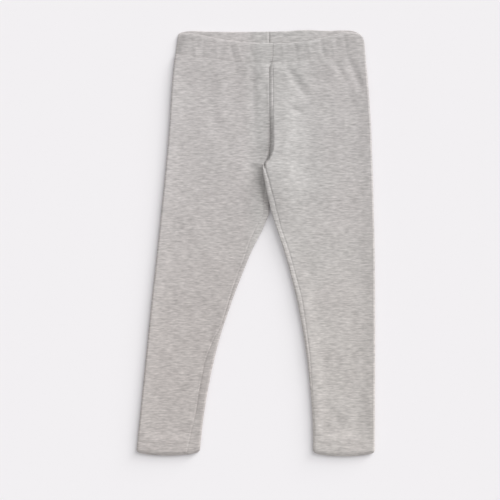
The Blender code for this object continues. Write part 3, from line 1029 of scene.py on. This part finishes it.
# The heather: streaks, blots and clouds, with their sizes across and down the cloth and their weights. Each
# course has streaks of its own, which lie COURSES_APART in their noise.
COURSES_APART = 13.0
STREAK_LENGTH = 0.0075
STREAK_WEIGHT = 0.95
BLOT_LENGTH = 0.0095
BLOT_HEIGHT = 0.0023
BLOT_WEIGHT = 0.85
CLOUD_LENGTH = 0.045
CLOUD_HEIGHT = 0.030
CLOUD_WEIGHT = 0.2
HEATHER_SPREAD = 0.290

# The colour at the hips and down at the calves, where it is darker and warmer, and where in the frame it
# turns from calves to hips and from the left side to the right. Low down, the right side is lighter and the
# left side darker.
HIP_TONE = (0.528, 0.506, 0.498, 1.0)
CALF_TONE = (0.524, 0.491, 0.473, 1.0)
CALVES_TO_HIPS_Y = (-0.21, 0.19)
LEFT_TO_RIGHT_X = (-0.022, 0.012)
RIGHT_LIGHTER_LOW = 0.037
# Its hue wanders between two, and the right side is greener. That fades at the hip, and a little lower down.
PINKER = (1.008, 0.996, 0.999, 1.0)
GREENER = (0.993, 1.004, 1.001, 1.0)
HUE_SIZE = 0.060
HUE_SPREAD = 0.8
GREEN_FADES_X = (0.050, 0.120)
GREEN_FADES = 0.8
GREEN_FADES_LOW = 0.2


def jersey(name, tone, right_lighter):
    """Heather single jersey: short streaks along the courses over a fine knit.

    tone is how light it is. At the hips, the right side is lighter than that by right_lighter, and the left
    side darker.
    """
    finish = Finish(name, Roughness=0.93, Sheen_Weight=0.15, Sheen_Roughness=0.5, Specular_IOR_Level=0.25)
    place = finish.add("ShaderNodeTexCoord", {}, {}, output=3)
    x, y = [finish.add("ShaderNodeSeparateXYZ", {}, {"Vector": place}, output=i) for i in (0, 1)]
    uv = finish.add("ShaderNodeUVMap", {"uv_map": "cloth"}, {})
    u, v = [finish.add("ShaderNodeSeparateXYZ", {}, {"Vector": uv}, output=i) for i in (0, 1)]
    low = 1.0 - y.above(*CALVES_TO_HIPS_Y)
    right = x.above(*LEFT_TO_RIGHT_X)
    lighter = (right * 2.0 - 1.0) * (low * (RIGHT_LIGHTER_LOW - right_lighter) + right_lighter) + tone
    course = (v * (1 / COURSE)).floor() * COURSES_APART + 0.5
    streaks = finish.noise(u * (1 / STREAK_LENGTH), course)
    blots = finish.noise(u * (1 / BLOT_LENGTH), v * (1 / BLOT_HEIGHT))
    clouds = finish.noise(u * (1 / CLOUD_LENGTH), v * (1 / CLOUD_HEIGHT))
    heather = streaks * STREAK_WEIGHT + blots * BLOT_WEIGHT + clouds * CLOUD_WEIGHT
    light = (heather * (2 * HEATHER_SPREAD) + 1.0) * lighter
    fade = x.above(*GREEN_FADES_X) * (1.0 - low) * GREEN_FADES
    greener = right * (1.0 - fade) * (1.0 - low * GREEN_FADES_LOW)
    hue = finish.noise(u * (1 / HUE_SIZE), v * (1 / HUE_SIZE)) * HUE_SPREAD + greener
    cloth = finish.mix_colours(1.0, finish.mix_colours(low, HIP_TONE, CALF_TONE), light, blend="MULTIPLY")
    tint = finish.mix_colours(hue, PINKER, GREENER)
    finish.feed("Base Color", finish.mix_colours(1.0, cloth, tint, blend="MULTIPLY"))
    limb = ((u * (1 / WALE)).fraction() * 2.0 - 1.0).absolute()
    loops = ((v * (1 / COURSE) + limb * LOOP_LEAN) * (2 * math.pi)).cosine() * 0.5 + 0.5
    strand = (limb - 0.5).absolute() * 2.0
    knit = (1.0 - strand * strand) * (loops * LOOP_SHARE + (1 - LOOP_SHARE))
    bump = finish.add("ShaderNodeBump", {}, {"Strength": 1.0, "Distance": STITCH_DEPTH, "Height": knit})
    finish.feed("Normal", bump)
    return finish.material


leg_jersey = jersey("leg_jersey", tone=0.999, right_lighter=-0.004)
band_jersey = jersey("band_jersey", tone=0.945, right_lighter=-0.003)
inside_jersey = jersey("inside_jersey", tone=1.0, right_lighter=-0.012)

# --- The pieces ------------------------------------------------------------------------------------------

for side in (LEFT, RIGHT):
    for kind, make, node, slot, cloth, inner in (
        ("leg", leg, "leg_", "leg_jersey", leg_jersey, leg_jersey),
        ("band", waistband, "waistband_", "waistband_jersey", band_jersey, inside_jersey),
        ("hem", hem, "hem_", "hem_jersey", leg_jersey, leg_jersey),
    ):
        piece = make(side)
        piece.data.materials.append(cloth)
        piece.data.materials.append(inner)
        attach(piece, "root")
        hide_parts(node + side.name)

# --- Floor, light and camera -----------------------------------------------------------------------------

FLOOR_SIZE = 6.0
FLOOR_Z = -0.0003
FLOOR_COLOUR = (0.862, 0.845, 0.862, 1.0)
bpy.ops.object.select_all(action="DESELECT")
bpy.ops.mesh.primitive_plane_add(size=FLOOR_SIZE, location=(0, 0, 0))
floor = bpy.context.object
floor.name = "floor"
for vertex in floor.data.vertices:
    vertex.co.z = FLOOR_Z
paper = Finish("floor", Roughness=1.0, Specular_IOR_Level=0.0)
paper.feed("Base Color", FLOOR_COLOUR)
floor.data.materials.append(paper.material)

# The lights. Each stands in a direction and is so wide, all in degrees, and adds a share of the full light
# that would fall on the open floor.
Panel = namedtuple("Panel", "name azimuth elevation spread share")
PANELS = [
    Panel("high_panel", 50, 30, 50, 0.36),
    Panel("low_panel", 48, 13, 19, 0.10),
    Panel("fill_panel", 225, 50, 60, 0.09),
]
SKY_STRENGTH = 0.480
for panel in PANELS:
    turn, rise = math.radians(panel.azimuth), math.radians(panel.elevation)
    lamp = bpy.data.lights.new(panel.name, "SUN")
    lamp.energy = panel.share * math.pi / math.sin(rise)
    lamp.angle = math.radians(panel.spread)
    sun = bpy.data.objects.new(panel.name, lamp)
    towards = Vector((math.cos(turn) * math.cos(rise), math.sin(turn) * math.cos(rise), math.sin(rise)))
    sun.rotation_euler = towards.to_track_quat("Z", "Y").to_euler()
    bpy.context.scene.collection.objects.link(sun)

world = bpy.data.worlds.new("room")
bpy.context.scene.world = world
world.use_nodes = True
sky = world.node_tree.nodes["Background"]
sky.inputs["Color"].default_value = (1.0, 1.0, 1.0, 1.0)
sky.inputs["Strength"].default_value = SKY_STRENGTH

# The camera looks straight down.
CAMERA_X = -0.0065
CAMERA_Y = -0.0089
CAMERA_HEIGHT = 1.614
LENS = 85
SENSOR = 36
lens = bpy.data.cameras.new("camera")
lens.lens = LENS
lens.sensor_width = SENSOR
camera = bpy.data.objects.new("camera", lens)
camera.location = (CAMERA_X, CAMERA_Y, CAMERA_HEIGHT)
bpy.context.scene.collection.objects.link(camera)
bpy.context.scene.camera = camera
bpy.context.scene.view_settings.view_transform = "Standard"
